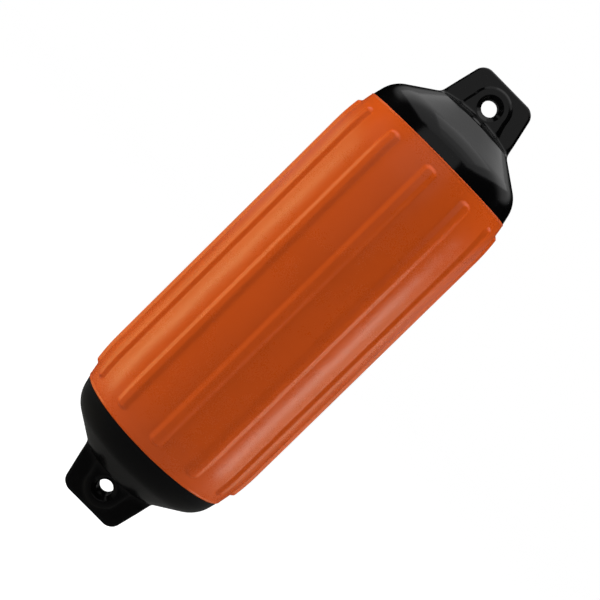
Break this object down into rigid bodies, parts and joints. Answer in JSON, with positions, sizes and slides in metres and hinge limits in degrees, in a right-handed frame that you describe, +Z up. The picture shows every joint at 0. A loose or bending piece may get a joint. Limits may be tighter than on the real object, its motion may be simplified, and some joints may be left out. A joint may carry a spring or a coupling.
{
  "type": "pneumatic boat fender",
  "caption": "Ribbed inflatable boat fender with domed black ends, a flat lug and rope eye at each end, and a flush screw valve.",
  "frame": {"origin": "centre of the upper eye, on the fender's axis and in the middle plane of the lug", "axes": "+Z up along the fender's axis, from the lower eye to the upper one; +Y along the eyes' axes, towards the side with the valve; +X across the lugs"},
  "size_m": [0.2242, 0.2242, 0.6692],
  "materials": {
    "orange_vinyl": "satin",
    "black_vinyl": "gloss",
    "black_nylon": "satin",
    "seal_rubber": "matte",
    "grey_nylon": "satin"
  },
  "bodies": {
    "root": {"ribbed_body": "orange_vinyl", "upper_end": "black_vinyl", "lower_end": "black_vinyl", "valve_body": "black_nylon", "valve_seal": "seal_rubber", "valve_screw": "grey_nylon"}
  },
  "joints": []
}
